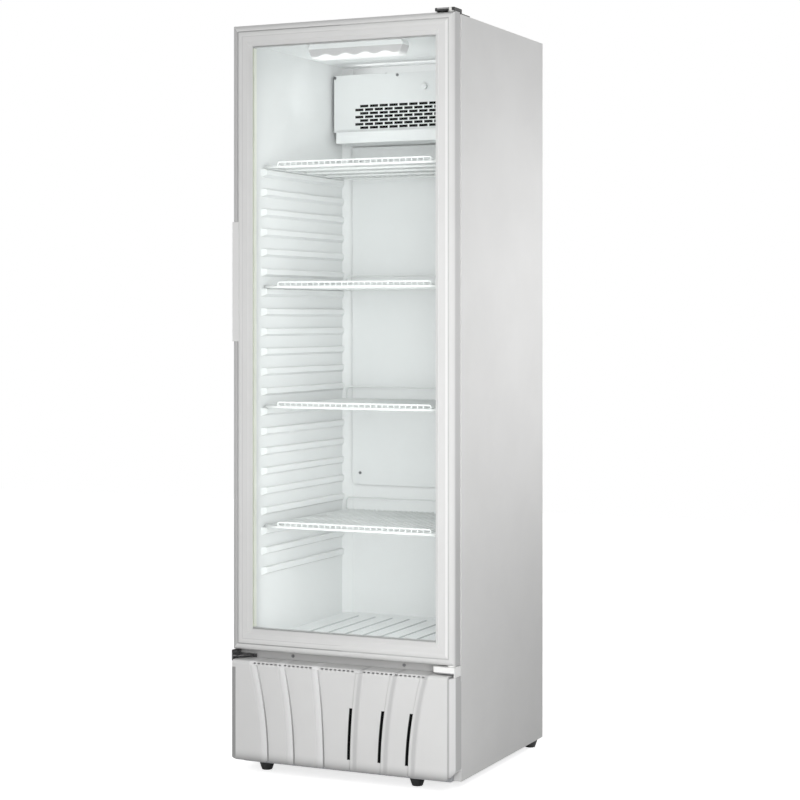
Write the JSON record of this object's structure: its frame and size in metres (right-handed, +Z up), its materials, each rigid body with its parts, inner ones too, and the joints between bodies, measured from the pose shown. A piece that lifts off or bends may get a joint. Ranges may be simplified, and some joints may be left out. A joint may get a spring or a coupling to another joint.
{
  "type": "upright display refrigerator",
  "caption": "Upright reach in refrigerator with a glass door, wire shelves on ribbed liner walls, a lamp and fan-cooled evaporator inside, and a vented kick panel over the machine space.",
  "frame": {"origin": "middle of the footprint, on the floor under the feet", "axes": "+Z up, +X to the right seen from the front, -Y towards the front, where the door is"},
  "size_m": [0.6, 0.615, 1.8574],
  "materials": {
    "white_panel": "satin white powder coat on steel sheet",
    "white_frame": "satin white coated frame extrusion",
    "liner": "white moulded liner plastic",
    "kick_white": "white moulded plastic",
    "foam": "closed-cell insulating foam",
    "glass": "clear glass",
    "lens": "frosted clear plastic",
    "spacer": "bright aluminium spacer bar",
    "gasket": "soft white seal",
    "grip": "white moulded grip",
    "black_steel": "black painted steel",
    "black_plastic": "black plastic",
    "zinc": "zinc-plated steel",
    "nylon": "white nylon",
    "wire": "white coated wire",
    "galvanised": "galvanised sheet",
    "bright_sheet": "pale coated aluminium sheet",
    "fins": "aluminium fins",
    "copper": "bare copper tube",
    "compressor_black": "black enamel",
    "rubber_black": "black rubber",
    "dark_plastic": "dark grey plastic",
    "board": "white circuit board with light-emitting diodes",
    "fan_blue": "black moulded fan"
  },
  "bodies": {
    "cabinet": {"back_baffle": "bright_sheet", "base_pan": "galvanised", "bottom_hinge_block": "nylon", "bottom_hinge_bracket": "zinc", "compressor": "compressor_black", "compressor_mounts": "rubber_black", "condenser": "fins", "condenser_fan_motor": "compressor_black", "drain_tube": "gasket", "drip_tray": "liner", "evaporating_tray": "dark_plastic", "evaporator_coil": "fins", "evaporator_cover": "bright_sheet", "evaporator_fan_motor": "dark_plastic", "front_crossmember": "white_panel", "hinge_pins": "zinc", "insulation_foam": "foam", "junction_box": "dark_plastic", "kick_panel": "kick_white", "lamp_board": "board", "lamp_housing": "white_frame", "lamp_lens": "lens", "liner_back": "liner", "liner_ceiling": "liner", "liner_floor": "liner", "liner_left": "liner", "liner_right": "liner", "machine_deck": "galvanised", "rear_grille": "galvanised", "rear_panel": "galvanised", "refrigerant_lines": "copper", "screws": "zinc", "side_panel_left": "white_panel", "side_panel_right": "white_panel", "spare_hinge_bracket": "zinc", "thermostat": "dark_plastic", "top_hinge_bracket": "black_steel", "top_hinge_cover": "black_plastic", "top_panel": "white_panel"},
    "door": {"door_stile_left": "white_frame", "door_stile_right": "white_frame", "door_rail_top": "white_frame", "door_rail_bottom": "white_frame", "glass_outer": "glass", "glass_inner": "glass", "glass_spacer": "spacer", "door_gasket": "gasket", "door_handle": "grip", "door_bushes": "nylon"},
    "evaporator_fan_wheel": {"evaporator_fan": "fan_blue"},
    "condenser_fan_wheel": {"condenser_fan": "fan_blue"},
    "knob": {"thermostat_knob": "liner"},
    "shelf_body_1": {"shelf_1": "wire"},
    "shelf_body_2": {"shelf_2": "wire"},
    "shelf_body_3": {"shelf_3": "wire"},
    "shelf_body_4": {"shelf_4": "wire"},
    "foot_front_left_body": {"foot_front_left": "dark_plastic"},
    "foot_front_right_body": {"foot_front_right": "dark_plastic"},
    "foot_rear_left_body": {"foot_rear_left": "dark_plastic"},
    "foot_rear_right_body": {"foot_rear_right": "dark_plastic"}
  },
  "joints": [
    {"name": "door_swing", "type": "hinge", "parent": "cabinet", "child": "door", "pos_m": [0.287, -0.2675, 1.07445], "axis": [0, 0, 1], "range_deg": [0, 120]},
    {"name": "evaporator_fan_spin", "type": "hinge", "parent": "cabinet", "child": "evaporator_fan_wheel", "pos_m": [-0.095, 0.1906, 1.706], "axis": [0, 1, 0], "continuous": true},
    {"name": "condenser_fan_spin", "type": "hinge", "parent": "cabinet", "child": "condenser_fan_wheel", "pos_m": [-0.1, -0.11847, 0.128], "axis": [0, 1, 0], "continuous": true},
    {"name": "thermostat_turn", "type": "hinge", "parent": "cabinet", "child": "knob", "pos_m": [0.019, 0.1735, 1.732], "axis": [0, 1, 0], "range_deg": [0, 270]},
    {"name": "shelf_1_slide", "type": "slide", "parent": "cabinet", "child": "shelf_body_1", "axis": [0, -1, 0], "range_m": [0, 0.025]},
    {"name": "shelf_2_slide", "type": "slide", "parent": "cabinet", "child": "shelf_body_2", "axis": [0, -1, 0], "range_m": [0, 0.025]},
    {"name": "shelf_3_slide", "type": "slide", "parent": "cabinet", "child": "shelf_body_3", "axis": [0, -1, 0], "range_m": [0, 0.025]},
    {"name": "shelf_4_slide", "type": "slide", "parent": "cabinet", "child": "shelf_body_4", "axis": [0, -1, 0], "range_m": [0, 0.025]},
    {"name": "foot_front_left_level", "type": "slide", "parent": "cabinet", "child": "foot_front_left_body", "axis": [0, 0, -1], "range_m": [0, 0.01]},
    {"name": "foot_front_right_level", "type": "slide", "parent": "cabinet", "child": "foot_front_right_body", "axis": [0, 0, -1], "range_m": [0, 0.01]},
    {"name": "foot_rear_left_level", "type": "slide", "parent": "cabinet", "child": "foot_rear_left_body", "axis": [0, 0, -1], "range_m": [0, 0.01]},
    {"name": "foot_rear_right_level", "type": "slide", "parent": "cabinet", "child": "foot_rear_right_body", "axis": [0, 0, -1], "range_m": [0, 0.01]}
  ]
}
